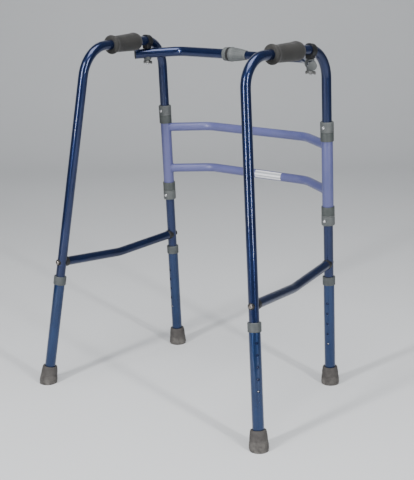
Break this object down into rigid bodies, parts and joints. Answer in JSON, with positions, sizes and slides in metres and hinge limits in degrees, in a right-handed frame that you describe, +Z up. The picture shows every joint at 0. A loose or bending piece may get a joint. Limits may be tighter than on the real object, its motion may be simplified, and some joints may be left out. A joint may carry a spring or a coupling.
{
  "type": "folding walking frame",
  "caption": "Folding reciprocal walking frame: bent-tube side frames with grips swivel on an H-shaped front frame under a telescopic top strut; adjustable legs end in rubber feet.",
  "frame": {"origin": "on the floor under the centre of the frame's bounding box, in its open position", "axes": "+X to the user's right, +Y the way the user walks, +Z up"},
  "size_m": [0.6684, 0.4656, 0.822],
  "materials": {
    "blue_tube": "navy blue anodised, satin with bright sheen lines",
    "steel_blue_tube": "steel blue anodised, satin",
    "lavender_coat": "semi-gloss lavender powder coat",
    "grey_plastic": "moulded grey nylon",
    "dark_plastic": "moulded dark grey nylon",
    "black_plastic": "moulded black nylon",
    "grip_rubber": "dark grey-brown moulded grip rubber",
    "foot_rubber": "taupe grey rubber",
    "bright_steel": "zinc-plated steel"
  },
  "bodies": {
    "front_frame": {"left_sleeve": "lavender_coat", "right_sleeve": "lavender_coat", "upper_crossbar": "lavender_coat", "lower_crossbar": "lavender_coat"},
    "left_bushes": {"left_upper_bush": "dark_plastic", "left_lower_bush": "dark_plastic"},
    "right_bushes": {"right_upper_bush": "dark_plastic", "right_lower_bush": "dark_plastic"},
    "left_side": {"left_side_tube": "blue_tube", "left_grip": "grip_rubber", "left_upper_ring": "grey_plastic", "left_lower_ring": "grey_plastic", "left_upper_ring_screw": "bright_steel", "left_lower_ring_screw": "bright_steel", "left_brace": "blue_tube", "left_front_brace_saddle": "grey_plastic", "left_rear_brace_saddle": "grey_plastic", "left_front_brace_screw": "bright_steel", "left_rear_brace_screw": "bright_steel", "left_strut_bracket": "grey_plastic"},
    "right_side": {"right_side_tube": "blue_tube", "right_grip": "grip_rubber", "right_upper_ring": "grey_plastic", "right_lower_ring": "grey_plastic", "right_upper_ring_screw": "bright_steel", "right_lower_ring_screw": "bright_steel", "right_brace": "blue_tube", "right_front_brace_saddle": "grey_plastic", "right_rear_brace_saddle": "grey_plastic", "right_front_brace_screw": "bright_steel", "right_rear_brace_screw": "bright_steel", "right_strut_bracket": "grey_plastic"},
    "left_front_leg": {"left_front_lower_leg": "steel_blue_tube", "left_front_collar": "grey_plastic", "left_front_foot": "foot_rubber"},
    "left_rear_leg": {"left_rear_lower_leg": "steel_blue_tube", "left_rear_collar": "grey_plastic", "left_rear_foot": "foot_rubber"},
    "right_front_leg": {"right_front_lower_leg": "steel_blue_tube", "right_front_collar": "grey_plastic", "right_front_foot": "foot_rubber"},
    "right_rear_leg": {"right_rear_lower_leg": "steel_blue_tube", "right_rear_collar": "grey_plastic", "right_rear_foot": "foot_rubber"},
    "left_front_button": {"left_front_snap_button": "bright_steel"},
    "left_rear_button": {"left_rear_snap_button": "bright_steel"},
    "right_front_button": {"right_front_snap_button": "bright_steel"},
    "right_rear_button": {"right_rear_snap_button": "bright_steel"},
    "left_bolt": {"left_strut_bolt": "bright_steel"},
    "strut_outer": {"strut_outer_tube": "blue_tube", "lock_collar": "grey_plastic", "lock_ring": "black_plastic", "left_strut_saddle": "grey_plastic"},
    "lock_nut": {"lock_nut": "grey_plastic"},
    "strut_inner": {"strut_inner_tube": "blue_tube", "right_strut_block": "grey_plastic", "right_strut_bolt": "bright_steel"},
    "left_wing_nut": {"left_wing_nut": "bright_steel"},
    "right_wing_nut": {"right_wing_nut": "bright_steel"}
  },
  "joints": [
    {"name": "stride", "type": "hinge", "parent": "front_frame", "child": "left_bushes", "pos_m": [-0.237, 0.18855, 0], "axis": [0, 0.0507, -0.9987], "range_deg": [-12, 12]},
    {"name": "right_stride", "type": "hinge", "parent": "front_frame", "child": "right_bushes", "pos_m": [0.237, 0.18855, 0], "axis": [0, 0.0507, -0.9987], "range_deg": [-12, 12]},
    {"name": "left_fold", "type": "hinge", "parent": "left_bushes", "child": "left_side", "pos_m": [-0.237, 0.18855, 0], "axis": [0, -0.0507, 0.9987], "range_deg": [0, 85]},
    {"name": "right_fold", "type": "hinge", "parent": "right_bushes", "child": "right_side", "pos_m": [0.237, 0.18855, 0], "axis": [0, 0.0507, -0.9987], "range_deg": [0, 20]},
    {"name": "strut_turn", "type": "hinge", "parent": "left_side", "child": "left_bolt", "pos_m": [-0.23347, 0.09165, 0.76854], "axis": [0, 0.0507, -0.9987], "range_deg": [-12, 12]},
    {"name": "strut_pivot", "type": "hinge", "parent": "left_bolt", "child": "strut_outer", "pos_m": [-0.23347, 0.09165, 0.76854], "axis": [0, -0.0507, 0.9987], "range_deg": [-93, 0]},
    {"name": "strut_slide", "type": "slide", "parent": "strut_outer", "child": "strut_inner", "axis": [1, 0, 0], "range_m": [-0.052, 0]},
    {"name": "lock_nut_turn", "type": "hinge", "parent": "strut_outer", "child": "lock_nut", "pos_m": [0, 0.15158, 0.77158], "axis": [1, 0, 0], "range_deg": [0, 120]},
    {"name": "left_wing_nut_turn", "type": "hinge", "parent": "left_bolt", "child": "left_wing_nut", "pos_m": [-0.23347, 0.09165, 0.76854], "axis": [0, -0.0507, 0.9987], "continuous": true},
    {"name": "right_wing_nut_turn", "type": "hinge", "parent": "strut_inner", "child": "right_wing_nut", "pos_m": [0.23347, 0.09165, 0.76854], "axis": [0, -0.0507, 0.9987], "continuous": true},
    {"name": "left_front_leg_height", "type": "slide", "parent": "left_side", "child": "left_front_leg", "axis": [0, 0.0507, -0.9987], "range_m": [0, 0.1016]},
    {"name": "left_rear_leg_height", "type": "slide", "parent": "left_side", "child": "left_rear_leg", "axis": [-0.1156, -0.1007, -0.9882], "range_m": [0, 0.1016]},
    {"name": "right_front_leg_height", "type": "slide", "parent": "right_side", "child": "right_front_leg", "axis": [0, 0.0507, -0.9987], "range_m": [0, 0.1016]},
    {"name": "right_rear_leg_height", "type": "slide", "parent": "right_side", "child": "right_rear_leg", "axis": [0.1156, -0.1007, -0.9882], "range_m": [0, 0.1016]},
    {"name": "left_front_button_out", "type": "slide", "parent": "left_side", "child": "left_front_button", "axis": [-0.2377, -0.9701, -0.0492], "range_m": [0, 0.0039], "stiffness_N_per_m": 1000, "springref_m": 0.0045},
    {"name": "left_rear_button_out", "type": "slide", "parent": "left_side", "child": "left_rear_button", "axis": [-0.7781, -0.6092, 0.1531], "range_m": [0, 0.0039], "stiffness_N_per_m": 1000, "springref_m": 0.0045},
    {"name": "right_front_button_out", "type": "slide", "parent": "right_side", "child": "right_front_button", "axis": [0.2377, -0.9701, -0.0492], "range_m": [0, 0.0039], "stiffness_N_per_m": 1000, "springref_m": 0.0045},
    {"name": "right_rear_button_out", "type": "slide", "parent": "right_side", "child": "right_rear_button", "axis": [0.7781, -0.6092, 0.1531], "range_m": [0, 0.0039], "stiffness_N_per_m": 1000, "springref_m": 0.0045}
  ],
  "couplings": [
    {"joint": "right_stride", "follows": "stride", "ratio": 1},
    {"joint": "strut_turn", "follows": "stride", "ratio": -1},
    {"joint": "strut_pivot", "follows": "left_fold", "ratio": -1.0914},
    {"joint": "strut_slide", "follows": "left_fold", "m_per_rad": -0.034074}
  ]
}
